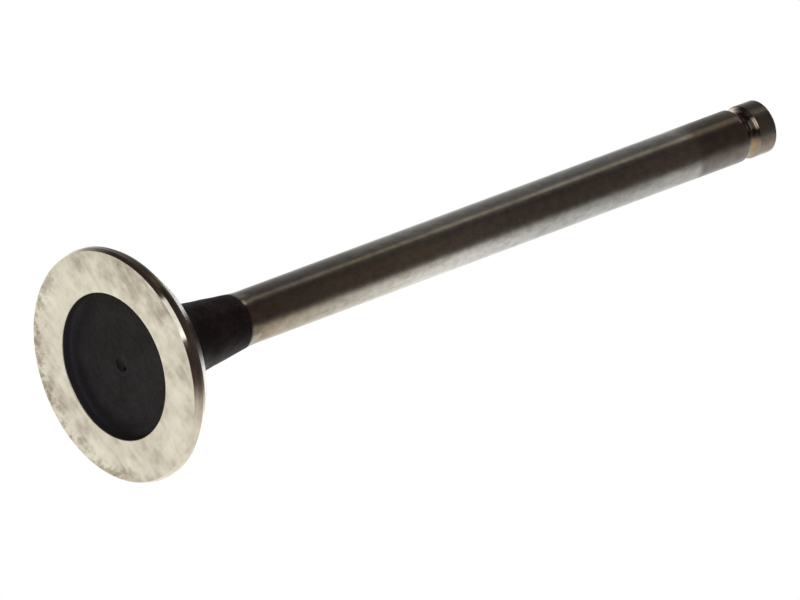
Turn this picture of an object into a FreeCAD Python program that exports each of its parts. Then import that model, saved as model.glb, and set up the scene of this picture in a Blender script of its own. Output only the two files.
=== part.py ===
import FreeCAD, Part
import math
import os

# Engine exhaust valve: one forged and ground steel piece, a solid of
# revolution about Z.  It stands on its head: the flat combustion face is
# the plane Z = 0 and the stem points up along +Z.  All sizes in mm.

# ---- driving dimensions -------------------------------------------------
# head
HEAD_DIA = 30.8          # over the margin
FACE_CHAMFER_R = 0.23    # steep chamfer between the face and the margin: radial...
FACE_CHAMFER_H = 0.54    # ...and axial size
MARGIN_TOP = 1.28        # the straight part of the margin ends here
RELIEF_IN = 0.30         # steep relief cut between margin and seat: radial...
RELIEF_H = 0.56          # ...and axial size
SEAT_ANGLE = 45.0        # seating face, degrees from the head plane
SEAT_WIDTH_R = 2.80      # radial width of the seating face

# dish in the combustion face
DISH_DIA = 19.4          # at the face
DISH_DEPTH = 1.32
DISH_DRAFT = 8.0         # wall leans outward, degrees
DISH_CORNER_R = 0.45     # wall to floor
DISH_RIM_R = 0.10        # broken rim edge
CENTRE_MARK_DIA = 2.2    # shallow turned centre mark in the dish floor
CENTRE_MARK_DEPTH = 0.25

# underhead and neck
UNDERHEAD_ANGLE = 18.0   # degrees up from the head plane
UNDERHEAD_R = 9.8        # blend from underhead to neck
NECK_END_Z = 21.6        # the neck taper line meets the stem's side line here
NECK_SLOPE = 0.120       # radius lost per mm of height on the neck taper
RUN_OUT_R = 15.0         # large radius that rounds that corner off

# stem and tip
STEM_DIA = 7.0
LENGTH = 111.4           # face to tip
GROOVE_Z = 107.25        # middle of the keeper groove
GROOVE_R = 1.05          # round groove section
GROOVE_WIDTH = 2.0       # at the stem surface
GROOVE_EDGE = 0.06       # tiny chamfer on both groove edges
TIP_CHAMFER = 0.45

# ---- helpers ------------------------------------------------------------


def pt(r, z):
    return FreeCAD.Vector(r, 0.0, z)


def line(a, b):
    return Part.LineSegment(pt(*a), pt(*b)).toShape()


def arc(a, m, b):
    return Part.Arc(pt(*a), pt(*m), pt(*b)).toShape()


def unit(a, b):
    dx, dz = b[0] - a[0], b[1] - a[1]
    n = math.hypot(dx, dz)
    return dx / n, dz / n


def fillet(prev, corner, nxt, radius):
    """Tangent arc of a given radius in the corner prev-corner-nxt."""
    ux, uz = unit(corner, prev)
    vx, vz = unit(corner, nxt)
    half = math.acos(max(-1.0, min(1.0, ux * vx + uz * vz))) / 2.0
    t = radius / math.tan(half)
    a = (corner[0] + ux * t, corner[1] + uz * t)
    b = (corner[0] + vx * t, corner[1] + vz * t)
    bx, bz = ux + vx, uz + vz
    n = math.hypot(bx, bz)
    d = radius / math.sin(half)
    c = (corner[0] + bx / n * d, corner[1] + bz / n * d)
    m = (c[0] - bx / n * radius, c[1] - bz / n * radius)
    return a, m, b


# ---- profile corners, from the centre of the dish outward and up ---------
head_r = HEAD_DIA / 2.0
stem_r = STEM_DIA / 2.0
dish_r = DISH_DIA / 2.0
wall_in = DISH_DEPTH * math.tan(math.radians(DISH_DRAFT))

mark_rim = (CENTRE_MARK_DIA / 2.0, DISH_DEPTH)
dish_corner = (dish_r - wall_in, DISH_DEPTH)
dish_rim = (dish_r, 0.0)
face_edge = (head_r - FACE_CHAMFER_R, 0.0)
chamfer_top = (head_r, FACE_CHAMFER_H)
margin_top = (head_r, MARGIN_TOP)
seat_out = (head_r - RELIEF_IN, MARGIN_TOP + RELIEF_H)
seat_in = (seat_out[0] - SEAT_WIDTH_R,
           seat_out[1] + SEAT_WIDTH_R * math.tan(math.radians(SEAT_ANGLE)))

# underhead line and neck taper line meet at this corner, later rounded
tu = math.tan(math.radians(UNDERHEAD_ANGLE))
# z = seat_in.z + (seat_in.r - r) * tu  and  r = stem_r + (NECK_END_Z - z) * NECK_SLOPE
root_r = ((stem_r + (NECK_END_Z - seat_in[1] - seat_in[0] * tu) * NECK_SLOPE)
          / (1.0 - tu * NECK_SLOPE))
root_z = seat_in[1] + (seat_in[0] - root_r) * tu
root = (root_r, root_z)

# the taper runs out tangentially into the ground stem
neck_end = (stem_r, NECK_END_Z)

# keeper groove
half_w = GROOVE_WIDTH / 2.0
groove_c_r = stem_r + math.sqrt(GROOVE_R ** 2 - half_w ** 2)
groove_floor = groove_c_r - GROOVE_R
ge_r = stem_r - GROOVE_EDGE
ge_half = math.sqrt(GROOVE_R ** 2 - (groove_c_r - ge_r) ** 2)

tip_edge = (stem_r, LENGTH - TIP_CHAMFER)
tip_rim = (stem_r - TIP_CHAMFER, LENGTH)

# ---- edges of the half section ------------------------------------------
edges = []

# centre mark: a shallow spherical dimple that goes further into the head
mark_top = (0.0, DISH_DEPTH + CENTRE_MARK_DEPTH)
mr = CENTRE_MARK_DIA / 2.0
sphere_r = (mr ** 2 + CENTRE_MARK_DEPTH ** 2) / (2.0 * CENTRE_MARK_DEPTH)
sc_z = mark_top[1] - sphere_r
ang = math.asin(mr / sphere_r) / 2.0
mark_mid = (sphere_r * math.sin(ang), sc_z + sphere_r * math.cos(ang))
edges.append(arc(mark_top, mark_mid, mark_rim))

# dish floor, wall and rim
a1, m1, b1 = fillet(mark_rim, dish_corner, dish_rim, DISH_CORNER_R)
a2, m2, b2 = fillet(dish_corner, dish_rim, face_edge, DISH_RIM_R)
edges.append(line(mark_rim, a1))
edges.append(arc(a1, m1, b1))
edges.append(line(b1, a2))
edges.append(arc(a2, m2, b2))

# combustion face, its chamfer, margin and the relief above it
edges.append(line(b2, face_edge))
edges.append(line(face_edge, chamfer_top))
edges.append(line(chamfer_top, margin_top))
edges.append(line(margin_top, seat_out))

# seating face
edges.append(line(seat_out, seat_in))

# underhead, blend and neck
a4, m4, b4 = fillet(seat_in, root, neck_end, UNDERHEAD_R)
edges.append(line(seat_in, a4))
edges.append(arc(a4, m4, b4))
a5, m5, b5 = fillet(root, neck_end, (stem_r, GROOVE_Z), RUN_OUT_R)
edges.append(line(b4, a5))
edges.append(arc(a5, m5, b5))

# ground stem up to the groove
g1 = (stem_r, GROOVE_Z - ge_half - GROOVE_EDGE)
g2 = (ge_r, GROOVE_Z - ge_half)
g3 = (groove_floor, GROOVE_Z)
g4 = (ge_r, GROOVE_Z + ge_half)
g5 = (stem_r, GROOVE_Z + ge_half + GROOVE_EDGE)
edges.append(line(b5, g1))
edges.append(line(g1, g2))
edges.append(arc(g2, g3, g4))
edges.append(line(g4, g5))

# tip land, chamfer, tip face and the axis
edges.append(line(g5, tip_edge))
edges.append(line(tip_edge, tip_rim))
edges.append(line(tip_rim, (0.0, LENGTH)))
edges.append(line((0.0, LENGTH), mark_top))

section = Part.Face(Part.Wire(edges))
valve = section.revolve(FreeCAD.Vector(0, 0, 0), FreeCAD.Vector(0, 0, 1), 360.0)
if valve.ShapeType != "Solid":
    valve = Part.Solid(valve.Shells[0])
if valve.Volume < 0:
    valve.reverse()

print("valid", valve.isValid(), "type", valve.ShapeType,
      "volume mm3", round(valve.Volume, 1),
      "mass of centre z", round(valve.CenterOfMass.z, 2))
print("seat inner edge r,z", [round(v, 3) for v in seat_in])
print("root corner", [round(v, 3) for v in root],
      "blend from", [round(v, 3) for v in a4], "to", [round(v, 3) for v in b4])
print("run-out from z", round(a5[1], 3), "to", round(b5[1], 3))
print("groove floor r", round(groove_floor, 3), "edges z",
      round(g1[1], 3), round(g5[1], 3))
bb = valve.BoundBox
print("box", [round(v, 3) for v in (bb.XMin, bb.XMax, bb.YMin, bb.YMax, bb.ZMin, bb.ZMax)])

os.makedirs("parts", exist_ok=True)
valve.exportStep("parts/valve.step")
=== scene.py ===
import math

import bpy
import numpy as np
from mathutils import Matrix, Vector


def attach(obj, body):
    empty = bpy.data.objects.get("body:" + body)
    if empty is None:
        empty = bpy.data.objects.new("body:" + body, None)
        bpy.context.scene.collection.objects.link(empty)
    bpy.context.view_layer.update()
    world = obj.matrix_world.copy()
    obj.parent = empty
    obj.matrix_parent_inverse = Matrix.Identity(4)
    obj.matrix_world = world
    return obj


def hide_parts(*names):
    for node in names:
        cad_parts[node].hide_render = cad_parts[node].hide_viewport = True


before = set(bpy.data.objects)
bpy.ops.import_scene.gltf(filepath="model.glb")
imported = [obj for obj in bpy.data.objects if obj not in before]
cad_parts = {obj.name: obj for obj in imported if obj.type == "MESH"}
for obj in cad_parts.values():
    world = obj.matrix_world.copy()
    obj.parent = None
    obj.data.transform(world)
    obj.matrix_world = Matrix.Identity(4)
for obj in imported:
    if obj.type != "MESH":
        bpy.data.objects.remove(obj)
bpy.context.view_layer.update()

scene = bpy.context.scene
scene.view_settings.view_transform = "Standard"
scene.view_settings.look = "None"
scene.view_settings.exposure = 0.0
scene.view_settings.gamma = 1.0

MM = 0.001

# ---------------------------------------------------------------------------
# camera: the valve is seen from the head side, the tip leaning away
# ---------------------------------------------------------------------------
LENS = 1250.0
CAM_AZ, CAM_EL, CAM_ROLL = math.radians(-0.1715), math.radians(-38.000), math.radians(69.487)
CAM_T = (36.003 * MM, 8.402 * MM)
CAM_D = 3494.0 * MM

back = Vector((math.sin(CAM_AZ) * math.cos(CAM_EL),
               -math.cos(CAM_AZ) * math.cos(CAM_EL),
               math.sin(CAM_EL)))
side = Vector((0, 0, 1)).cross(back).normalized()
over = back.cross(side)
right = side * math.cos(CAM_ROLL) + over * math.sin(CAM_ROLL)
up = over * math.cos(CAM_ROLL) - side * math.sin(CAM_ROLL)
cam_data = bpy.data.cameras.new("camera")
cam_data.lens = LENS
cam_data.sensor_width = 36.0
cam_data.sensor_fit = "HORIZONTAL"
cam_data.clip_start = 1.0
cam_data.clip_end = 30.0
cam = bpy.data.objects.new("camera", cam_data)
scene.collection.objects.link(cam)
cam.matrix_world = Matrix((
    (right.x, up.x, back.x, 0), (right.y, up.y, back.y, 0),
    (right.z, up.z, back.z, 0), (0, 0, 0, 1)))
cam.location = right * CAM_T[0] + up * CAM_T[1] + back * CAM_D
scene.camera = cam

# ---------------------------------------------------------------------------
# node helpers
# ---------------------------------------------------------------------------


class Nodes:
    def __init__(self, tree):
        self.tree = tree
        self.x = 0
        tree.nodes.clear()

    def add(self, kind, **props):
        n = self.tree.nodes.new(kind)
        self.x += 40
        n.location = (self.x, 0)
        for k, v in props.items():
            setattr(n, k, v)
        return n

    def link(self, a, b):
        self.tree.links.new(a, b)

    def put(self, socket, value):
        if isinstance(value, bpy.types.NodeSocket):
            self.link(value, socket)
        else:
            socket.default_value = value

    def math(self, op, a, b=0.0, c=0.0, clamp=False):
        n = self.add("ShaderNodeMath", operation=op, use_clamp=clamp)
        for i, v in enumerate((a, b, c)):
            self.put(n.inputs[i], v)
        return n.outputs[0]

    def maprange(self, v, a0, a1, b0, b1, smooth=True):
        n = self.add("ShaderNodeMapRange",
                     interpolation_type="SMOOTHSTEP" if smooth else "LINEAR")
        self.put(n.inputs["Value"], v)
        n.inputs["From Min"].default_value = a0
        n.inputs["From Max"].default_value = a1
        n.inputs["To Min"].default_value = b0
        n.inputs["To Max"].default_value = b1
        return n.outputs["Result"]

    def ramp(self, v, stops, interp="LINEAR"):
        n = self.add("ShaderNodeValToRGB")
        self.put(n.inputs[0], v)
        cr = n.color_ramp
        cr.interpolation = interp
        while len(cr.elements) > 1:
            cr.elements.remove(cr.elements[-1])
        first = True
        for pos, col in stops:
            if isinstance(col, (int, float)):
                col = (col, col, col)
            if first:
                e = cr.elements[0]
                e.position = pos
                first = False
            else:
                e = cr.elements.new(pos)
            e.color = (col[0], col[1], col[2], 1.0)
        return n.outputs["Color"]

    def mix(self, fac, a, b, blend="MIX"):
        n = self.add("ShaderNodeMix", data_type="RGBA", blend_type=blend,
                     clamp_factor=True)
        self.put(n.inputs[0], fac)
        for sock, v in ((n.inputs[6], a), (n.inputs[7], b)):
            if isinstance(v, bpy.types.NodeSocket):
                self.link(v, sock)
            else:
                sock.default_value = (v[0], v[1], v[2], 1.0)
        return n.outputs[2]

    def noise(self, vec, scale, detail=3.0, rough=0.55, distort=0.0):
        n = self.add("ShaderNodeTexNoise")
        self.link(vec, n.inputs["Vector"])
        n.inputs["Scale"].default_value = scale
        n.inputs["Detail"].default_value = detail
        n.inputs["Roughness"].default_value = rough
        n.inputs["Distortion"].default_value = distort
        return n.outputs["Fac"]

    def voronoi(self, vec, scale, feature="F1"):
        n = self.add("ShaderNodeTexVoronoi", feature=feature)
        self.link(vec, n.inputs["Vector"])
        n.inputs["Scale"].default_value = scale
        return n.outputs["Distance"]

    def coords(self):
        """Position on the valve in millimetres."""
        tc = self.add("ShaderNodeTexCoord")
        return self.mapped(tc.outputs["Object"], scale=(1000, 1000, 1000))

    def mapped(self, vec, loc=(0, 0, 0), rot=(0, 0, 0), scale=(1, 1, 1)):
        m = self.add("ShaderNodeMapping")
        self.link(vec, m.inputs["Vector"])
        m.inputs["Location"].default_value = loc
        m.inputs["Rotation"].default_value = rot
        m.inputs["Scale"].default_value = scale
        return m.outputs["Vector"]

    def split(self, vec):
        s = self.add("ShaderNodeSeparateXYZ")
        self.link(vec, s.inputs[0])
        return s.outputs[0], s.outputs[1], s.outputs[2]

    def join(self, x, y, z):
        s = self.add("ShaderNodeCombineXYZ")
        for i, v in enumerate((x, y, z)):
            self.put(s.inputs[i], v)
        return s.outputs[0]

    def bump(self, height, strength, distance, normal=None):
        n = self.add("ShaderNodeBump")
        n.inputs["Strength"].default_value = strength
        n.inputs["Distance"].default_value = distance
        self.link(height, n.inputs["Height"])
        if normal is not None:
            self.link(normal, n.inputs["Normal"])
        return n.outputs["Normal"]


def material(name):
    m = bpy.data.materials.new(name)
    m.use_nodes = True
    return m, Nodes(m.node_tree)


def surface(N, color, rough, metallic=1.0, normal=None, aniso=0.0, specular=0.5,
            turned=False):
    p = N.add("ShaderNodeBsdfPrincipled")
    if isinstance(color, bpy.types.NodeSocket):
        N.link(color, p.inputs["Base Color"])
    else:
        p.inputs["Base Color"].default_value = (*color, 1.0)
    N.put(p.inputs["Roughness"], rough)
    p.inputs["Metallic"].default_value = metallic
    p.inputs["Specular IOR Level"].default_value = specular
    p.inputs["Anisotropic"].default_value = aniso
    if turned:
        t = N.add("ShaderNodeTangent", direction_type="RADIAL", axis="Z")
        N.link(t.outputs[0], p.inputs["Tangent"])
    if normal is not None:
        N.link(normal, p.inputs["Normal"])
    out = N.add("ShaderNodeOutputMaterial")
    N.link(p.outputs[0], out.inputs[0])
    return p


# ---------------------------------------------------------------------------
# light: a procedural studio around the valve, fixed in the valve's own frame
# ---------------------------------------------------------------------------
r_ = math.radians
world = bpy.data.worlds.new("studio")
scene.world = world
world.use_nodes = True
W = Nodes(world.node_tree)
tc = W.add("ShaderNodeTexCoord")
dx, dy, dz = W.split(tc.outputs["Generated"])
psi = W.math("ARCTAN2", W.math("MULTIPLY", dx, -1.0), W.math("MULTIPLY", dy, -1.0))
turn = W.math("MULTIPLY_ADD", psi, 1.0 / (2 * math.pi), 0.5)


def deg(p):
    return (p + 180.0) / 360.0


# psi is 0 toward the front (-Y), +90 toward -X, -90 toward +X
upper_ring = W.ramp(turn, [
    (deg(-180), (1.00, 1.00, 1.00)),
    (deg(-155), (0.88, 0.88, 0.88)),
    (deg(-125), (0.74, 0.74, 0.73)),
    (deg(-95), (0.66, 0.66, 0.65)),
    (deg(-75), (0.55, 0.545, 0.53)),
    (deg(-62), (0.37, 0.355, 0.335)),
    (deg(-52), (0.165, 0.150, 0.142)),
    (deg(-43), (0.080, 0.068, 0.062)),
    (deg(-32), (0.056, 0.046, 0.040)),
    (deg(0), (0.062, 0.047, 0.037)),
    (deg(20), (0.056, 0.043, 0.036)),
    (deg(36), (0.042, 0.035, 0.032)),
    (deg(49), (0.058, 0.051, 0.047)),
    (deg(56), (0.085, 0.074, 0.064)),
    (deg(60.5), (0.27, 0.238, 0.195)),
    (deg(70.0), (0.27, 0.238, 0.195)),
    (deg(75.5), (0.116, 0.106, 0.096)),
    (deg(95), (0.122, 0.117, 0.113)),
    (deg(125), (0.235, 0.235, 0.235)),
    (deg(147), (0.42, 0.42, 0.42)),
    (deg(166), (0.80, 0.80, 0.80)),
    (deg(180), (1.00, 1.00, 1.00)),
])
# below that the studio is laid out by the surface slope that mirrors it to
# the front and below: ht is the slope's azimuth, ha its angle from straight
# down, both in the valve's own frame
hx = W.math("SUBTRACT", dx, 0.0014)
hy = W.math("SUBTRACT", dy, 0.788)
hz = W.math("SUBTRACT", dz, 0.616)
ht = W.math("ARCTAN2", W.math("MULTIPLY", hx, -1.0), W.math("MULTIPLY", hy, -1.0))
hr = W.math("SQRT", W.math("ADD", W.math("MULTIPLY", hx, hx),
                           W.math("MULTIPLY", hy, hy)))
ha = W.math("ARCTAN2", hr, W.math("MULTIPLY", hz, -1.0))
hturn = W.math("MULTIPLY_ADD", ht, 1.0 / (2 * math.pi), 0.5)
low_ring = W.ramp(hturn, [
    (deg(-180), (1.20, 1.16, 1.06)),
    (deg(-100), (1.12, 1.07, 0.95)),
    (deg(-60), (0.90, 0.85, 0.74)),
    (deg(-40), (0.80, 0.74, 0.64)),
    (deg(-29), (0.50, 0.45, 0.40)),
    (deg(-22), (0.090, 0.062, 0.055)),
    (deg(-12), (0.042, 0.026, 0.025)),
    (deg(0), (0.042, 0.026, 0.025)),
    (deg(45), (0.042, 0.024, 0.026)),
    (deg(62), (0.044, 0.027, 0.028)),
    (deg(71), (0.15, 0.13, 0.12)),
    (deg(81), (0.42, 0.37, 0.33)),
    (deg(90), (0.85, 0.82, 0.76)),
    (deg(104), (1.40, 1.38, 1.34)),
    (deg(135), (1.60, 1.58, 1.54)),
    (deg(180), (1.20, 1.16, 1.06)),
])
face_side = W.maprange(ha, r_(7.0), r_(13.0), 1.0, 0.0)
low_ring = W.mix(face_side, low_ring, (1.17, 1.16, 1.12))
# overhead and behind: a white card on the +X side, dim on the -X side, and a
# dark gap straight above
card = W.ramp(dz, [
    (0.62, (1.50, 1.50, 1.50)), (0.80, (1.50, 1.50, 1.50)), (0.84, (1.30, 1.29, 1.25)),
    (0.906, (0.70, 0.67, 0.60)), (0.930, (0.30, 0.28, 0.25)),
    (0.956, (0.10, 0.088, 0.080)), (0.972, (0.050, 0.042, 0.038)),
    (1.0, (0.050, 0.040, 0.037))])
dim = W.ramp(dz, [
    (0.62, (0.34, 0.33, 0.31)), (0.70, (0.30, 0.29, 0.27)), (0.76, (0.22, 0.21, 0.20)),
    (0.80, (0.14, 0.13, 0.12)), (0.84, (0.095, 0.088, 0.082)), (0.87, (0.13, 0.125, 0.11)),
    (0.906, (0.20, 0.20, 0.165)), (0.930, (0.090, 0.085, 0.072)),
    (0.956, (0.045, 0.038, 0.034)), (1.0, (0.050, 0.040, 0.037))])
above = W.mix(W.maprange(dx, -0.060, -0.090, 0.0, 1.0), card, dim)
# a brighter strip low on the card, which the seat mirrors on both sides
strip = W.math("MULTIPLY", W.maprange(dz, 0.750, 0.768, 1.0, 0.0),
               W.maprange(W.math("ABSOLUTE", dx), 0.052, 0.066, 1.0, 0.0))
above = W.mix(strip, above, (2.7, 2.7, 2.7))
pane = W.math("MULTIPLY",
              W.math("MULTIPLY", W.maprange(dz, 0.69, 0.73, 0.0, 1.0),
                     W.maprange(dz, 0.84, 0.88, 1.0, 0.0)),
              W.math("MULTIPLY", W.maprange(dx, -0.34, -0.42, 0.0, 1.0),
                     W.maprange(dy, 0.36, 0.44, 0.0, 1.0)))
above = W.mix(pane, above, (1.10, 1.06, 1.04))
behind = W.math("MULTIPLY", W.maprange(dz, 0.64, 0.68, 0.0, 1.0),
                W.math("MAXIMUM", W.maprange(dy, 0.03, 0.10, 0.0, 1.0),
                       W.maprange(dz, 0.93, 0.96, 0.0, 1.0)))
high = W.mix(behind, upper_ring, above)
studio = W.mix(W.maprange(dz, 0.50, 0.59, 0.0, 1.0), low_ring, high)
# a strip lamp low in front, on the -X side
lamp = W.math("MULTIPLY",
              W.math("MULTIPLY", W.maprange(ht, r_(-0.5), r_(1.5), 0.0, 1.0),
                     W.maprange(ht, r_(21.5), r_(23.5), 1.0, 0.0)),
              W.math("MULTIPLY", W.maprange(ha, r_(24.0), r_(36.0), 0.0, 1.0),
                     W.maprange(ha, r_(70.5), r_(75.0), 1.0, 0.0)))
hot = W.maprange(ht, r_(3.5), r_(7.5), 1.45, 1.0)
hotc = W.join(hot, hot, W.math("MULTIPLY", hot, 0.95))
studio = W.mix(lamp, studio, hotc)
# what shows behind the valve is plain white
lp = W.add("ShaderNodeLightPath")
studio = W.mix(lp.outputs["Is Camera Ray"], studio, (1.0, 1.0, 1.0))
bg = W.add("ShaderNodeBackground")
W.link(studio, bg.inputs[0])
wo = W.add("ShaderNodeOutputWorld")
W.link(bg.outputs[0], wo.inputs[0])

# ---------------------------------------------------------------------------
# the valve: one turned and forged piece, its section swept round the axis.
# The sizes repeat those of the construction, in millimetres.
# ---------------------------------------------------------------------------
HEAD_R = 15.40
FACE_CHAMFER_R = 0.23
FACE_CHAMFER_H = 0.54
MARGIN_TOP = 1.28
RELIEF_IN = 0.30
RELIEF_H = 0.56
SEAT_WIDTH_R = 2.80
DISH_R = 9.70
DISH_DEPTH = 1.32
DISH_DRAFT = 8.0
DISH_CORNER_R = 0.45
DISH_RIM_R = 0.10
MARK_R = 1.10
MARK_DEPTH = 0.25
UNDERHEAD_ANGLE = 18.0
UNDERHEAD_R = 9.8
NECK_END_Z = 21.6
NECK_SLOPE = 0.120
RUN_OUT_R = 15.0
SKIN_END_Z = 20.20
STEM_R = 3.5
LENGTH = 111.4
GROOVE_Z = 107.25
GROOVE_R = 1.05
GROOVE_WIDTH = 2.0
GROOVE_EDGE = 0.06
TIP_CHAMFER = 0.45
TIP_ZONE_Z = 97.98

ZONES = ["dish", "face", "margin", "seat", "neck", "stem", "groove", "tip_end"]
ZI = {z: i for i, z in enumerate(ZONES)}


def fillet(prev, corner, nxt, radius):
    ux, uz = corner_unit(corner, prev)
    vx, vz = corner_unit(corner, nxt)
    half = math.acos(max(-1.0, min(1.0, ux * vx + uz * vz))) / 2.0
    t = radius / math.tan(half)
    a = (corner[0] + ux * t, corner[1] + uz * t)
    b = (corner[0] + vx * t, corner[1] + vz * t)
    bx, bz = ux + vx, uz + vz
    n = math.hypot(bx, bz)
    d = radius / math.sin(half)
    c = (corner[0] + bx / n * d, corner[1] + bz / n * d)
    return a, b, c


def corner_unit(a, b):
    dx, dz = b[0] - a[0], b[1] - a[1]
    n = math.hypot(dx, dz)
    return dx / n, dz / n


profile = []   # (r, z, zone of the strip that follows)


def push(p, zone):
    profile.append((p[0], p[1], zone))


def run_line(a, b, n, zone, guard=0.03):
    """n strips from a to b, with a narrow strip at both ends, so that the
    shading of a flat or straight stretch isn't pulled by its neighbours."""
    length = math.hypot(b[0] - a[0], b[1] - a[1])
    ts = [i / n for i in range(n)]
    g = guard / length
    if g < 0.3 / n:
        ts = sorted(set(ts + [g, 1.0 - g]))
    for t in ts:
        push((a[0] + (b[0] - a[0]) * t, a[1] + (b[1] - a[1]) * t), zone)


def run_arc(a, b, c, n, zone):
    a0 = math.atan2(a[1] - c[1], a[0] - c[0])
    a1 = math.atan2(b[1] - c[1], b[0] - c[0])
    while a1 - a0 > math.pi:
        a1 -= 2 * math.pi
    while a1 - a0 < -math.pi:
        a1 += 2 * math.pi
    r = math.hypot(a[0] - c[0], a[1] - c[1])
    for i in range(n):
        t = a0 + (a1 - a0) * i / n
        push((c[0] + r * math.cos(t), c[1] + r * math.sin(t)), zone)


wall_in = DISH_DEPTH * math.tan(math.radians(DISH_DRAFT))
mark_rim = (MARK_R, DISH_DEPTH)
dish_corner = (DISH_R - wall_in, DISH_DEPTH)
dish_rim = (DISH_R, 0.0)
face_edge = (HEAD_R - FACE_CHAMFER_R, 0.0)
chamfer_top = (HEAD_R, FACE_CHAMFER_H)
margin_top = (HEAD_R, MARGIN_TOP)
seat_out = (HEAD_R - RELIEF_IN, MARGIN_TOP + RELIEF_H)
seat_in = (seat_out[0] - SEAT_WIDTH_R, seat_out[1] + SEAT_WIDTH_R)
tu = math.tan(math.radians(UNDERHEAD_ANGLE))
root_r = ((STEM_R + (NECK_END_Z - seat_in[1] - seat_in[0] * tu) * NECK_SLOPE)
          / (1.0 - tu * NECK_SLOPE))
root = (root_r, seat_in[1] + (seat_in[0] - root_r) * tu)
neck_end = (STEM_R, NECK_END_Z)
skin_end = (STEM_R + (NECK_END_Z - SKIN_END_Z) * NECK_SLOPE, SKIN_END_Z)
half_w = GROOVE_WIDTH / 2.0
groove_c_r = STEM_R + math.sqrt(GROOVE_R ** 2 - half_w ** 2)
ge_r = STEM_R - GROOVE_EDGE
ge_half = math.sqrt(GROOVE_R ** 2 - (groove_c_r - ge_r) ** 2)

sphere_r = (MARK_R ** 2 + MARK_DEPTH ** 2) / (2.0 * MARK_DEPTH)
sc = (0.0, DISH_DEPTH + MARK_DEPTH - sphere_r)
run_arc((0.0, DISH_DEPTH + MARK_DEPTH), mark_rim, sc, 16, "dish")
a1, b1, c1 = fillet(mark_rim, dish_corner, dish_rim, DISH_CORNER_R)
a2, b2, c2 = fillet(dish_corner, dish_rim, face_edge, DISH_RIM_R)
run_line(mark_rim, a1, 26, "dish")
run_arc(a1, b1, c1, 9, "dish")
run_line(b1, a2, 6, "dish")
run_arc(a2, b2, c2, 6, "face")
# the edges of the chamfer are broken by a hair, as on a real lathe part
BREAK = 0.035
e1 = fillet(dish_rim, face_edge, chamfer_top, BREAK)
run_line(b2, e1[0], 14, "face")
run_arc(*e1, 3, "margin")
e2 = fillet(face_edge, chamfer_top, margin_top, BREAK)
run_line(e1[1], e2[0], 3, "margin", guard=0.02)
run_arc(*e2, 3, "margin")
e3 = fillet(chamfer_top, margin_top, seat_out, BREAK)
run_line(e2[1], e3[0], 5, "margin", guard=0.02)
run_arc(*e3, 3, "margin")
e4 = fillet(margin_top, seat_out, seat_in, BREAK)
run_line(e3[1], e4[0], 4, "margin", guard=0.02)
run_arc(*e4, 3, "seat")
run_line(e4[1], seat_in, 8, "seat", guard=0.02)
a4, b4, c4 = fillet(seat_in, root, neck_end, UNDERHEAD_R)
run_line(seat_in, a4, 8, "neck")
run_arc(a4, b4, c4, 26, "neck")
run_line(b4, skin_end, 26, "neck")
a5, b5, c5 = fillet(root, neck_end, (STEM_R, GROOVE_Z), RUN_OUT_R)
push(skin_end, "stem")
run_arc(a5, b5, c5, 8, "stem")
g1 = (STEM_R, GROOVE_Z - ge_half - GROOVE_EDGE)
g2 = (ge_r, GROOVE_Z - ge_half)
g4 = (ge_r, GROOVE_Z + ge_half)
g5 = (STEM_R, GROOVE_Z + ge_half + GROOVE_EDGE)
run_line(b5, g1, 40, "stem")
run_line(g1, g2, 2, "groove", guard=0.0)
run_arc(g2, g4, (groove_c_r, GROOVE_Z), 20, "groove")
run_line(g4, g5, 2, "groove", guard=0.0)
tip_edge = (STEM_R, LENGTH - TIP_CHAMFER)
tip_rim = (STEM_R - TIP_CHAMFER, LENGTH)
run_line(g5, tip_edge, 6, "tip_end")
run_line(tip_edge, tip_rim, 3, "tip_end")
run_line(tip_rim, (0.0, LENGTH), 10, "tip_end")
push((0.0, LENGTH), "tip_end")

ANG = 300
rz = np.array([(p[0], p[1]) for p in profile])
zone_of = [p[2] for p in profile]
rings = rz[1:-1]
nr = len(rings)
th = np.arange(ANG) * 2 * math.pi / ANG

R = np.repeat(rings[:, 0][:, None], ANG, 1)
Z = np.repeat(rings[:, 1][:, None], ANG, 1)
TH = np.repeat(th[None, :], nr, 0)


def wob(seed, terms, amp):
    """Smooth seeded field on the unrolled surface, periodic round the axis."""
    rng = np.random.default_rng(seed)
    f = np.zeros_like(R)
    for _ in range(terms):
        k = rng.integers(1, 14)
        q = rng.uniform(0.3, 3.2)
        ph = rng.uniform(0, 2 * math.pi)
        arc_len = R * 0.35 + Z * 0.9
        f += np.sin(k * TH + ph) * np.cos(q * arc_len + rng.uniform(0, 6.28))
    return amp * f / math.sqrt(terms)


strip_zone = np.array([ZI[zone_of[i + 1]] for i in range(nr)])
forged = (strip_zone == ZI["neck"]).astype(float)[:, None]
in_dish = (strip_zone == ZI["dish"]).astype(float)[:, None]
# the forged skin is a little uneven; it fades out at the ground edges
fade_neck = np.clip((Z - seat_in[1]) / 1.0, 0, 1) * np.clip((SKIN_END_Z - Z) / 1.2, 0, 1)
fade_dish = np.clip((DISH_R - 0.25 - R) / 1.2, 0, 1) * np.clip(R / 1.5, 0, 1)
bump_neck = wob(7, 26, 0.018) * forged * fade_neck
bump_dish = wob(11, 26, 0.010) * in_dish * fade_dish
# a small pit beside the middle of the centre mark
px, py = 0.72, -0.18
X0, Y0 = R * np.cos(TH), R * np.sin(TH)
pit = 0.16 * np.exp(-(((X0 - px) ** 2 + (Y0 - py) ** 2) / (2 * 0.17 ** 2)))
pit = pit * (Z < DISH_DEPTH + MARK_DEPTH + 0.01) * (R < 2.5)

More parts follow.
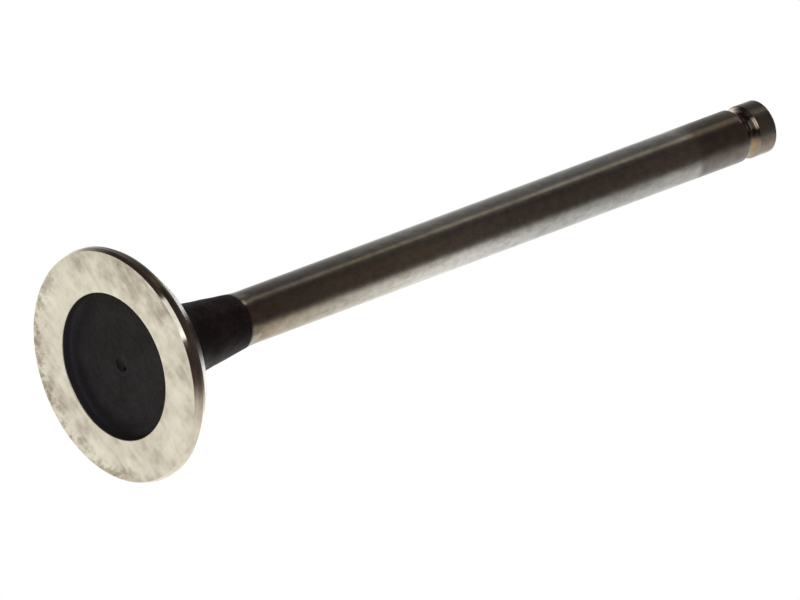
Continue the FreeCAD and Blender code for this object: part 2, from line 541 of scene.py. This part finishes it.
Rn = R + bump_neck * 0.9
Zn = Z + bump_neck * 0.3 + bump_dish + pit
X = Rn * np.cos(TH) * MM
Y = Rn * np.sin(TH) * MM
verts = np.stack([X, Y, Zn * MM], -1).reshape(-1, 3)
verts = np.vstack([verts, [[0, 0, rz[0, 1] * MM], [0, 0, rz[-1, 1] * MM]]])
i0, i1 = nr * ANG, nr * ANG + 1

faces, mats = [], []
for j in range(ANG):
    k = (j + 1) % ANG
    faces.append((i0, j, k))
    mats.append(ZI[zone_of[0]])
for i in range(nr - 1):
    m = ZI[zone_of[i + 1]]
    a, b = i * ANG, (i + 1) * ANG
    for j in range(ANG):
        k = (j + 1) % ANG
        faces.append((a + j, b + j, b + k, a + k))
        mats.append(m)
a = (nr - 1) * ANG
for j in range(ANG):
    k = (j + 1) % ANG
    faces.append((a + j, i1, a + k))
    mats.append(ZI[zone_of[nr]])

mesh = bpy.data.meshes.new("valve_body")
mesh.from_pydata(verts.tolist(), [], faces)
mesh.polygons.foreach_set("material_index", mats)
mesh.update()
# outward check: the tip face must look up
probe = mesh.polygons[len(faces) - 1]
if probe.normal.z < 0:
    mesh.flip_normals()
mesh.polygons.foreach_set("use_smooth", [True] * len(mesh.polygons))
mesh.set_sharp_from_angle(angle=math.radians(28))
valve = bpy.data.objects.new("valve_body", mesh)
scene.collection.objects.link(valve)

# ---------------------------------------------------------------------------
# finishes
# ---------------------------------------------------------------------------
built = {}

# combustion face: ground, bright, clouded and a little stained
m, N = material("ground_face")
p = N.coords()
fx, fy, fz = N.split(p)
flat = N.join(fx, fy, 0.0)
rad = N.math("SQRT", N.math("ADD", N.math("MULTIPLY", fx, fx),
                            N.math("MULTIPLY", fy, fy)))
cloud = N.noise(N.mapped(flat, loc=(3.1, 7.7, 0)), 0.15, 3.0, 0.55)
streak = N.noise(N.mapped(N.mapped(flat, rot=(0, 0, math.radians(24))),
                          scale=(0.34, 1.0, 1)), 0.95, 3.0, 0.60, 0.6)
fine = N.noise(flat, 0.60, 3.0, 0.50, 0.4)
grit = N.noise(N.mapped(flat, loc=(11, 3, 0), scale=(1.0, 0.50, 1)), 2.3, 4.0, 0.68)
# the outer edge has picked up stains on the +Y side
edge = N.maprange(rad, 12.2, 14.8, 0.0, 1.0)
left = N.maprange(fy, 1.0, 9.0, 0.0, 1.0)
v = N.math("MULTIPLY", cloud, 0.20)
v = N.math("MULTIPLY_ADD", streak, 0.22, v)
v = N.math("MULTIPLY_ADD", fine, 0.23, v)
v = N.math("MULTIPLY_ADD", grit, 0.17, v)
v = N.math("ADD", v, 0.0935)
v = N.math("MULTIPLY_ADD", N.math("SUBTRACT", grit, 0.5),
           N.math("MULTIPLY_ADD", N.math("MULTIPLY", left, edge), 0.24, -0.10), v)
stain = N.math("MULTIPLY", N.math("MULTIPLY", left, edge),
               N.maprange(N.math("MULTIPLY_ADD", grit, 0.4,
                                 N.math("MULTIPLY", fine, 0.6)),
                          0.54, 0.44, 0.0, 1.0))
v = N.math("MULTIPLY_ADD", stain, -0.070, v)
v = N.math("MULTIPLY_ADD", edge, -0.018, v)


def patch(v, x0, y0, size, depth, turn=0.0, long_=1.0):
    """One soft cloud with an uneven edge, darker or lighter."""
    q = N.mapped(flat, loc=(-x0, -y0, 0))
    q = N.mapped(q, rot=(0, 0, math.radians(turn)), scale=(1.0, 1.0 / long_, 1.0))
    qx, qy, qz = N.split(q)
    dist = N.math("SQRT", N.math("ADD", N.math("MULTIPLY", qx, qx),
                                 N.math("MULTIPLY", qy, qy)))
    dist = N.math("MULTIPLY_ADD", N.math("SUBTRACT", cloud, 0.5), 1.2 * size, dist)
    dist = N.math("MULTIPLY_ADD", N.math("SUBTRACT", streak, 0.5), 0.7 * size, dist)
    return N.math("ADD", v, N.maprange(dist, 0.0, 1.1 * size, 1.25 * depth, 0.0))


v = patch(v, -11.2, -5.6, 3.8, -0.047, 20, 1.3)
v = patch(v, -9.0, -9.4, 3.6, -0.052, 40, 1.4)
v = patch(v, -14.4, -1.6, 2.4, -0.060, 0, 1.5)
v = patch(v, -4.8, -13.0, 3.4, -0.068, 75, 1.9)
v = patch(v, 3.6, -13.0, 2.4, -0.040, -75, 1.5)
v = patch(v, 12.2, -1.0, 2.9, -0.016, 10, 1.5)
v = patch(v, 11.6, -6.4, 3.6, 0.060, -25, 1.5)
v = patch(v, 6.0, 10.6, 2.2, -0.050, 30, 1.7)
v = patch(v, 0.4, 13.6, 2.6, -0.055, 80, 1.6)
v = patch(v, -9.6, 7.0, 4.2, 0.020, -30, 1.4)
v = patch(v, -13.2, 3.2, 2.6, 0.040, 10, 1.4)
v = patch(v, 9.8, 8.6, 3.2, 0.062, 15, 1.4)
v = patch(v, 13.4, 6.0, 1.8, -0.050, 20, 1.6)
# rubbed brighter round the dish on the -X side, less on the +X side
round_dish = N.math("MULTIPLY", fx, N.maprange(rad, 12.8, 11.6, 0.0, 1.0))
v = N.math("MULTIPLY_ADD", round_dish, -0.0028, v)
v = N.math("ADD", v, 0.026)
col = N.ramp(v, [(0.34, (0.36, 0.325, 0.26)), (0.44, (0.535, 0.495, 0.405)),
                 (0.51, (0.650, 0.610, 0.512)), (0.58, (0.725, 0.690, 0.588)),
                 (0.70, (0.820, 0.785, 0.680))])
rgh = N.maprange(v, 0.35, 0.62, 0.46, 0.36)
nrm = N.bump(v, 0.10, 0.0004)
surface(N, col, rgh, 1.0, nrm)
built["face"] = m

# dish: black forged skin, greyer on its wall
m, N = material("black_dish")
p = N.coords()
fx, fy, fz = N.split(p)
rad = N.math("SQRT", N.math("ADD", N.math("MULTIPLY", fx, fx),
                            N.math("MULTIPLY", fy, fy)))
cl = N.noise(p, 0.35, 4.0, 0.6)
fi = N.noise(p, 2.6, 4.0, 0.6)
ringed = N.noise(N.join(rad, 0.0, 0.0), 1.3, 2.0, 0.5)
v = N.math("MULTIPLY_ADD", cl, 0.45, N.math("MULTIPLY_ADD", fi, 0.35,
                                            N.math("MULTIPLY", ringed, 0.2)))
col = N.ramp(v, [(0.35, (0.0110, 0.0083, 0.0105)), (0.52, (0.0146, 0.0113, 0.0142)),
                 (0.68, (0.0190, 0.0152, 0.0185))])
# painted light: the floor is lightened toward the +Y side and at the foot of the wall there, where the wall
# shades it
painted_fill = N.math("MULTIPLY_ADD", N.math("MULTIPLY", N.maprange(fy, 1.0, 7.5, 0.0, 1.0),
                                          N.maprange(rad, 3.0, 8.0, 0.0, 1.0)), 0.85, 1.0)
painted_fill = N.math("MULTIPLY_ADD", N.math("MULTIPLY", N.maprange(fy, -2.0, 6.0, 0.0, 1.0), N.maprange(rad, 8.4, 9.1, 0.0, 1.0)), 1.1, painted_fill)
cooler = N.math("MULTIPLY_ADD", N.math("SUBTRACT", painted_fill, 1.0), 0.14, 1.0)
col = N.mix(1.0, col, N.join(painted_fill, N.math("MULTIPLY", painted_fill, cooler),
                             N.math("MULTIPLY", painted_fill, cooler)), "MULTIPLY")
wall = N.maprange(fz, 1.15, 0.6, 0.0, 1.0)
col = N.mix(wall, col, (0.044, 0.038, 0.050))
# painted shade: the pit beside the middle is painted nearly black
pit_x = N.math("SUBTRACT", fx, 0.72)
pit_y = N.math("ADD", fy, 0.18)
pit_d = N.math("SQRT", N.math("ADD", N.math("MULTIPLY", pit_x, pit_x),
                              N.math("MULTIPLY", pit_y, pit_y)))
col = N.mix(N.maprange(pit_d, 0.52, 0.22, 0.0, 0.75), col, (0.001, 0.001, 0.001))
rgh = N.maprange(v, 0.35, 0.65, 0.62, 0.48)
nrm = N.bump(fi, 0.25, 0.0002)
surface(N, col, rgh, 0.0, nrm, specular=0.14)
built["dish"] = m

# margin: turned, fine rings round the rim
m, N = material("turned_margin")
p = N.coords()
x_, y_, z_ = N.split(p)
ring = N.noise(N.join(N.math("MULTIPLY", x_, 0.05), N.math("MULTIPLY", y_, 0.05), z_),
               9.0, 2.0, 0.6)
cl = N.noise(p, 0.7, 3.0, 0.55)
col = N.ramp(N.math("MULTIPLY_ADD", ring, 0.4, N.math("MULTIPLY", cl, 0.6)),
             [(0.35, (0.62, 0.585, 0.52)), (0.65, (0.80, 0.77, 0.70))])
# painted shade and painted highlight: the straight part is darkened on the -X side and brightened past its
# own colour on +X
margin_side_light = N.ramp(N.math("MULTIPLY_ADD", x_, 1.0 / 32.0, 0.5), [
    (0.5 - 15.3 / 32, (0.75, 0.72, 0.68)), (0.5 - 13.3 / 32, (0.58, 0.56, 0.52)),
    (0.5 - 11.8 / 32, (0.52, 0.52, 0.47)), (0.5 - 9.9 / 32, (0.38, 0.37, 0.35)),
    (0.5 - 7.7 / 32, (0.32, 0.30, 0.26)), (0.5 - 6.0 / 32, (0.50, 0.46, 0.43)),
    (0.5 - 4.0 / 32, (0.85, 0.80, 0.78)), (0.5 + 5.0 / 32, (0.90, 0.84, 0.80)),
    (0.5 + 7.5 / 32, (1.20, 1.12, 1.02)), (0.5 + 12.0 / 32, (1.22, 1.15, 1.04)),
    (0.5 + 15.3 / 32, (1.22, 1.18, 1.12))])
straight = N.math("MULTIPLY", N.maprange(z_, 0.50, 0.60, 0.0, 1.0),
                  N.maprange(z_, 1.24, 1.32, 1.0, 0.0))
col = N.mix(1.0, col, N.mix(straight, (1.0, 1.0, 1.0), margin_side_light), "MULTIPLY")
nrm = N.bump(ring, 0.18, 0.00005)
surface(N, col, N.maprange(cl, 0.3, 0.7, 0.15, 0.10), 1.0, nrm, aniso=0.3, turned=True)
built["margin"] = m

# seat: ground at 45 degrees, brighter
m, N = material("ground_seat")
p = N.coords()
x_, y_, z_ = N.split(p)
ring = N.noise(N.join(N.math("MULTIPLY", x_, 0.05), N.math("MULTIPLY", y_, 0.05), z_),
               12.0, 3.0, 0.6)
cl = N.noise(p, 0.6, 3.0, 0.55)
col = N.ramp(N.math("MULTIPLY_ADD", ring, 0.6, N.math("MULTIPLY", cl, 0.4)),
             [(0.35, (0.34, 0.33, 0.30)), (0.65, (0.48, 0.47, 0.44))])
# painted shade: darker in front
dark = N.math("MULTIPLY", N.maprange(N.math("ABSOLUTE", x_), 3.4, 4.6, 0.50, 0.0),
              N.maprange(y_, -5.0, -8.0, 0.0, 1.0))
dark = N.math("SUBTRACT", 1.0, dark)
col = N.mix(1.0, col, N.join(dark, dark, dark), "MULTIPLY")
nrm = N.bump(ring, 0.25, 0.00006)
surface(N, col, N.maprange(cl, 0.3, 0.7, 0.34, 0.27), 1.0, nrm, aniso=0.3, turned=True)
built["seat"] = m

# neck and underhead: black forged skin
m, N = material("forged_black")
p = N.coords()
cl = N.noise(p, 0.22, 4.0, 0.6)
fi = N.noise(p, 1.7, 5.0, 0.65)
sp = N.noise(N.mapped(p, loc=(5, 1, 9)), 6.0, 3.0, 0.6)
v = N.math("MULTIPLY_ADD", cl, 0.45, N.math("MULTIPLY_ADD", fi, 0.35,
                                            N.math("MULTIPLY", sp, 0.2)))
col = N.ramp(v, [(0.38, (0.0072, 0.0054, 0.0055)), (0.50, (0.0125, 0.0094, 0.0094)),
                 (0.60, (0.0210, 0.0165, 0.0158))])
nx, ny, nz = N.split(p)
# painted light: the skin is lightened away from the +X side, most in a band on the -X side that stands in
# for a reflection of the strip of light
neck_side_light = N.ramp(N.math("MULTIPLY_ADD", nx, 0.1, 0.5), [
    (0.06, 2.2), (0.17, 2.3), (0.25, 4.2), (0.31, 3.6), (0.38, 2.6), (0.50, 2.3),
    (0.62, 1.9), (0.69, 1.35), (0.75, 1.0), (0.84, 1.1), (0.90, 1.1)])
col = N.mix(1.0, col, neck_side_light, "MULTIPLY")
rgh = N.math("ADD", N.maprange(v, 0.36, 0.64, 0.52, 0.38),
             N.maprange(nz, 12.0, 7.0, 0.0, 0.35))
nrm = N.bump(fi, 0.30, 0.0002)
surface(N, col, rgh, 0.0, nrm, specular=0.06)
built["neck"] = m

# stem: ground and plated up to the tip zone, then brown hardened steel
m, N = material("ground_stem")
p = N.coords()
x_, y_, z_ = N.split(p)
thin = N.noise(N.join(N.math("MULTIPLY", x_, 0.12), N.math("MULTIPLY", y_, 0.12), z_),
               5.0, 3.0, 0.6)
cl = N.noise(N.mapped(p, scale=(1, 1, 0.25)), 0.5, 4.0, 0.6)
zt = N.math("MULTIPLY", z_, 1.0 / LENGTH)
tone = N.ramp(zt, [
    (20.6 / LENGTH, (0.475, 0.395, 0.295)),
    (26.5 / LENGTH, (0.51, 0.435, 0.33)),
    (35.3 / LENGTH, (0.58, 0.535, 0.455)),
    (48.0 / LENGTH, (0.74, 0.715, 0.665)),
    (62.7 / LENGTH, (0.70, 0.685, 0.655)),
    (80.4 / LENGTH, (0.50, 0.49, 0.475)),
    (95.0 / LENGTH, (0.50, 0.485, 0.46)),
], interp="B_SPLINE")
mott = N.ramp(N.math("MULTIPLY_ADD", cl, 0.76, N.math("MULTIPLY", thin, 0.24)),
              [(0.34, (0.86, 0.85, 0.83)), (0.66, (1.10, 1.10, 1.10))])
plated = N.mix(1.0, tone, mott, "MULTIPLY")
spots = N.ramp(N.noise(N.mapped(p, loc=(2, 8, 5), scale=(1, 1, 0.7)), 1.1, 4.0, 0.62),
               [(0.36, (0.86, 0.85, 0.84)), (0.50, (1.0, 1.0, 1.0)), (0.64, (1.10, 1.10, 1.09))])
plated = N.mix(1.0, plated, spots, "MULTIPLY")
# painted light and shade on the stem: lighter toward the strip of light on the -X side and across the front
# higher up, darker in bands on the +X and -X sides
stem_side_light = N.math("MULTIPLY", N.maprange(z_, 60.0, 97.0, 0.0, 0.42),
              N.maprange(x_, -0.9, -1.9, 0.0, 1.0))
stem_side_light = N.math("MULTIPLY_ADD", N.maprange(z_, 93.5, 96.5, 0.0, 0.60),
              N.math("MULTIPLY", N.maprange(x_, -1.4, -1.8, 0.0, 1.0),
                     N.maprange(x_, -2.3, -2.05, 0.25, 1.0)), stem_side_light)
stem_side_light = N.math("MULTIPLY_ADD", N.maprange(z_, 72.0, 92.0, 0.0, 0.30),
              N.math("MULTIPLY", N.maprange(x_, -1.5, -1.1, 0.0, 1.0),
                     N.maprange(x_, 1.5, 1.0, 0.0, 1.0)), stem_side_light)
low_side = N.maprange(x_, 1.3, 2.0, 0.0, 1.0)
stem_side_light = N.math("MULTIPLY_ADD", N.math("MULTIPLY", low_side,
                                     N.maprange(z_, 57.0, 72.0, 0.15, -0.03)), 1.0, stem_side_light)
stem_side_light = N.math("MULTIPLY_ADD", N.math("MULTIPLY", low_side,
                                     N.maprange(z_, 38.0, 52.0, -0.07, 0.0)), 1.0, stem_side_light)
# painted shade: darker where the taper runs out on the +X side, and above on the -X side
stem_side_light = N.math("MULTIPLY_ADD", N.math("MULTIPLY", N.maprange(x_, 1.0, 2.6, 0.0, 1.0),
                                     N.maprange(z_, 21.0, 23.2, -0.42, 0.0)), 1.0, stem_side_light)
stem_side_light = N.math("MULTIPLY_ADD", N.math("MULTIPLY", N.maprange(x_, -1.9, -2.4, 0.0, 1.0),
                                     N.maprange(z_, 28.0, 53.0, -0.23, 0.0)), 1.0, stem_side_light)
stem_side_light = N.math("MULTIPLY_ADD", N.math("MULTIPLY", N.maprange(x_, -2.1, -2.5, 0.0, 1.0),
                                     N.math("MULTIPLY", N.maprange(z_, 70.0, 77.0, 0.0, 1.0),
                                            N.maprange(z_, 97.0, 94.0, 0.0, 1.0))), -0.15, stem_side_light)
stem_side_light = N.math("MULTIPLY_ADD", N.math("MULTIPLY", N.math("MULTIPLY", N.maprange(x_, -1.3, -1.5, 0.0, 1.0),
                                                        N.maprange(x_, -2.5, -2.2, 0.0, 1.0)),
                                     N.math("MULTIPLY", N.maprange(z_, 33.0, 41.0, 0.0, 1.0),
                                            N.maprange(z_, 56.0, 50.0, 0.0, 1.0))), -0.18, stem_side_light)
stem_side_light = N.math("ADD", stem_side_light, 1.0)
plated = N.mix(1.0, plated, N.join(stem_side_light, stem_side_light, stem_side_light), "MULTIPLY")
cool = N.math("MULTIPLY", N.maprange(z_, 27.0, 40.0, 1.0, 0.0), N.maprange(x_, 1.9, 1.1, 0.0, 1.0))
plated = N.mix(cool, plated, N.mix(1.0, plated, (1.0, 1.055, 1.28), "MULTIPLY"))
smudge = N.maprange(N.math("MULTIPLY_ADD", N.noise(p, 1.6, 3.0, 0.6), 0.5, z_),
                    SKIN_END_Z + 0.15, SKIN_END_Z + 0.75, 0.75, 0.0)
plated = N.mix(smudge, plated, (0.06, 0.05, 0.042))
# painted shade: darker on the +X side just above the black skin
shade = N.math("MULTIPLY", N.maprange(N.math("MULTIPLY_ADD", N.noise(p, 0.9, 2.0, 0.5), 0.6, z_),
                                      SKIN_END_Z + 0.2, SKIN_END_Z + 2.1, 0.80, 0.0),
               N.maprange(x_, 1.4, 2.9, 0.0, 1.0))
plated = N.mix(shade, plated, (0.10, 0.088, 0.075))
# a painted glint on the -X side just above the black skin
glint = N.math("MULTIPLY", N.math("MULTIPLY", N.maprange(z_, 20.25, 20.45, 0.0, 1.0),
                                  N.maprange(z_, 21.0, 20.7, 0.0, 1.0)),
               N.math("MULTIPLY", N.maprange(x_, -2.35, -2.1, 0.0, 1.0),
                      N.maprange(x_, -1.35, -1.7, 0.0, 1.0)))
plated = N.mix(glint, plated, (1.0, 0.95, 0.82))
edge_z = N.math("ADD", z_, N.math("MULTIPLY", N.noise(p, 0.45, 3.0, 0.6), 1.6))
soft = N.math("MAXIMUM", N.maprange(x_, -2.1, -2.6, 0.0, 1.0),
              N.math("MULTIPLY", N.maprange(x_, 1.4, -1.0, 0.0, 0.6),
                     N.maprange(x_, -1.3, -1.6, 1.0, 0.15)))
tipfac = N.mix(soft, N.maprange(edge_z, TIP_ZONE_Z + 0.10, TIP_ZONE_Z + 1.50, 0.0, 1.0),
               N.maprange(edge_z, TIP_ZONE_Z - 2.2, TIP_ZONE_Z + 3.0, 0.0, 1.0))
hard = N.ramp(N.noise(p, 0.8, 4.0, 0.6),
              [(0.35, (0.225, 0.200, 0.175)), (0.65, (0.30, 0.275, 0.245))])
# painted highlight: paler toward the strip of light and along the front, a little darker on the +X side
pale = N.ramp(N.math("MULTIPLY_ADD", x_, 1.0 / 8.0, 0.5), [
    (0.5 - 2.4 / 8, (1.12, 1.12, 1.14)), (0.5 - 2.15 / 8, (1.95, 1.85, 1.80)),
    (0.5 - 1.6 / 8, (1.95, 1.85, 1.80)), (0.5 - 1.3 / 8, (1.45, 1.45, 1.50)),
    (0.5 + 1.2 / 8, (1.45, 1.40, 1.45)), (0.5 + 1.9 / 8, (1.10, 1.08, 1.08)),
    (0.5 + 2.6 / 8, (0.84, 0.82, 0.82))])
hard = N.mix(1.0, hard, pale, "MULTIPLY")
col = N.mix(tipfac, plated, hard)
# a painted highlight on the lower edge of the groove, on the -X side in front; it is also rougher there
groove_edge_glint = N.math("MULTIPLY", N.maprange(z_, 105.75, 105.95, 0.0, 1.0),
              N.math("MULTIPLY", N.maprange(x_, -1.95, -1.70, 0.0, 1.0),
                     N.math("MULTIPLY", N.maprange(x_, -1.10, -1.35, 0.0, 1.0),
                            N.maprange(y_, 0.0, -1.0, 0.0, 1.0))))
col = N.mix(groove_edge_glint, col, (0.90, 0.74, 0.72))
r1 = N.maprange(cl, 0.3, 0.7, 0.20, 0.15)
rgh = N.math("ADD", r1, N.math("MULTIPLY", tipfac, 0.06))
rgh = N.math("MULTIPLY_ADD", groove_edge_glint, 0.35, rgh)
nrm = N.bump(thin, 0.07, 0.00006)
surface(N, col, rgh, 1.0, nrm, aniso=0.55, turned=True)
built["stem"] = m

# groove: dark, with straw heat tints on the +X side
m, N = material("tinted_groove")
p = N.coords()
gx, gy, gz = N.split(p)
cl = N.noise(p, 0.9, 3.0, 0.6)
low = N.maprange(gx, 1.0, 1.7, 0.0, 1.0)
straw = N.math("MULTIPLY", N.math("MULTIPLY", low, N.maprange(gx, 3.0, 2.4, 0.15, 1.0)),
               N.maprange(gz, GROOVE_Z + 0.80, GROOVE_Z + 0.55, 0.0, 1.0))
dark = N.ramp(cl, [(0.36, (0.10, 0.085, 0.075)), (0.66, (0.19, 0.17, 0.15))])
warm = N.ramp(cl, [(0.36, (0.38, 0.265, 0.135)), (0.66, (0.48, 0.37, 0.22))])
# the flank toward the head is only rosy there
rosy = N.math("MULTIPLY", low, N.maprange(gz, GROOVE_Z + 0.34, GROOVE_Z + 0.12, 0.0, 1.0))
clean = N.math("MULTIPLY", low, N.math("MAXIMUM", N.maprange(gz, GROOVE_Z + 0.60, GROOVE_Z + 0.85, 0.0, 1.0),
                                       N.maprange(gx, 2.5, 2.9, 0.0, 1.0)))
# a painted highlight on the -X side of the groove, mostly toward the head
top_glint = N.math("MULTIPLY", N.maprange(gx, -2.3, -2.7, 0.0, 1.0),
              N.math("MAXIMUM", N.maprange(gz, GROOVE_Z + 0.85, GROOVE_Z + 0.60, 0.0, 1.0),
                     N.math("MULTIPLY", N.maprange(gx, -3.0, -3.2, 0.0, 0.8),
                            N.maprange(gz, GROOVE_Z + 1.0, GROOVE_Z + 0.85, 0.0, 1.0))))
# painted shade darkens the tip-side part of the groove near x = 0, a painted glint lights the flank toward
# the tip there, and elsewhere the dark colour is made 1.7 times lighter
flank = N.math("MULTIPLY", N.maprange(gz, GROOVE_Z + 0.72, GROOVE_Z + 0.90, 0.0, 1.0),
               N.math("MULTIPLY", N.maprange(gx, 0.55, 0.10, 0.0, 1.0),
                      N.maprange(gx, -1.60, -0.95, 0.0, 1.0)))
groove_front_shade = N.math("MULTIPLY", N.maprange(gz, GROOVE_Z + 0.28, GROOVE_Z + 0.42, 0.0, 1.0),
              N.math("MULTIPLY", N.maprange(gx, -1.9, -1.5, 0.0, 1.0),
                     N.maprange(gx, 0.9, 0.3, 0.0, 1.0)))
groove_shade_lift = N.mix(groove_front_shade, (1.7, 1.75, 1.80), (0.40, 0.365, 0.37))
dark = N.mix(1.0, dark, N.mix(flank, groove_shade_lift, (4.0, 3.8, 3.55)), "MULTIPLY")
gcol = N.mix(rosy, N.mix(straw, dark, warm), (0.36, 0.305, 0.265))
gcol = N.mix(clean, gcol, (0.33, 0.31, 0.265))
gcol = N.mix(top_glint, gcol, (1.0, 0.91, 0.89))
surface(N, gcol, N.maprange(cl, 0.35, 0.65, 0.20, 0.30), 1.0)
built["groove"] = m

# tip: hardened, bright at its corner
m, N = material("hardened_tip")
p = N.coords()
cl = N.noise(p, 0.8, 4.0, 0.6)
col = N.ramp(cl, [(0.35, (0.26, 0.222, 0.180)), (0.65, (0.36, 0.316, 0.262))])
tx, ty, tz = N.split(p)
# painted highlight: the land is lightened in front below the chamfer, most across its middle and a little
# darker at its edges
land_highlight = N.ramp(N.math("MULTIPLY_ADD", tx, 1.0 / 8.0, 0.5), [
    (0.5 - 2.6 / 8, (0.69, 0.65, 0.60)), (0.5 - 2.15 / 8, (1.32, 1.42, 1.55)),
    (0.5 - 1.3 / 8, (1.60, 1.85, 2.05)), (0.5 + 1.2 / 8, (1.60, 1.85, 2.05)),
    (0.5 + 1.9 / 8, (0.93, 0.86, 0.84))])
front = N.math("MULTIPLY", N.maprange(ty, -0.8, -1.8, 0.0, 1.0),
               N.maprange(tz, LENGTH - 0.35, LENGTH - 0.55, 0.0, 1.0))
col = N.mix(front, col, N.mix(1.0, col, land_highlight, "MULTIPLY"))
surface(N, col, N.maprange(cl, 0.3, 0.7, 0.28, 0.20), 1.0, None, aniso=0.3, turned=True)
built["tip_end"] = m

for z in ZONES:
    mesh.materials.append(built[z])

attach(valve, "root")
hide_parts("valve")

# ---------------------------------------------------------------------------
# floor: plain and pale, seen from above only
# ---------------------------------------------------------------------------
FLOOR_R = 0.46
n = 128
fv = [(0, 0, -0.00002)] + [(FLOOR_R * math.cos(2 * math.pi * i / n),
                            FLOOR_R * math.sin(2 * math.pi * i / n), -0.00002)
                           for i in range(n)]
ff = [(0, 1 + i, 1 + (i + 1) % n) for i in range(n)]
fm = bpy.data.meshes.new("floor")
fm.from_pydata(fv, [], ff)
fm.update()
floor = bpy.data.objects.new("floor", fm)
scene.collection.objects.link(floor)
fmat, F = material("pale_floor")
geo = F.add("ShaderNodeNewGeometry")
ftc = F.add("ShaderNodeTexCoord")
fl = F.add("ShaderNodeVectorMath", operation="LENGTH")
F.link(ftc.outputs["Object"], fl.inputs[0])
dif = F.add("ShaderNodeBsdfDiffuse")
dif.inputs["Color"].default_value = (0.80, 0.80, 0.79, 1)
emi = F.add("ShaderNodeEmission")
emi.inputs["Color"].default_value = (1, 1, 1, 1)
far = F.add("ShaderNodeMixShader")
F.link(F.maprange(fl.outputs["Value"], 0.03, 0.24, 0.62, 1.0), far.inputs[0])
F.link(dif.outputs[0], far.inputs[1])
F.link(emi.outputs[0], far.inputs[2])
clear = F.add("ShaderNodeBsdfTransparent")
both = F.add("ShaderNodeMixShader")
F.link(geo.outputs["Backfacing"], both.inputs[0])
F.link(far.outputs[0], both.inputs[1])
F.link(clear.outputs[0], both.inputs[2])
fo = F.add("ShaderNodeOutputMaterial")
F.link(both.outputs[0], fo.inputs[0])
fm.materials.append(fmat)
floor.visible_diffuse = False
floor.visible_glossy = False
floor.visible_transmission = False
floor.visible_volume_scatter = False
floor.visible_shadow = False
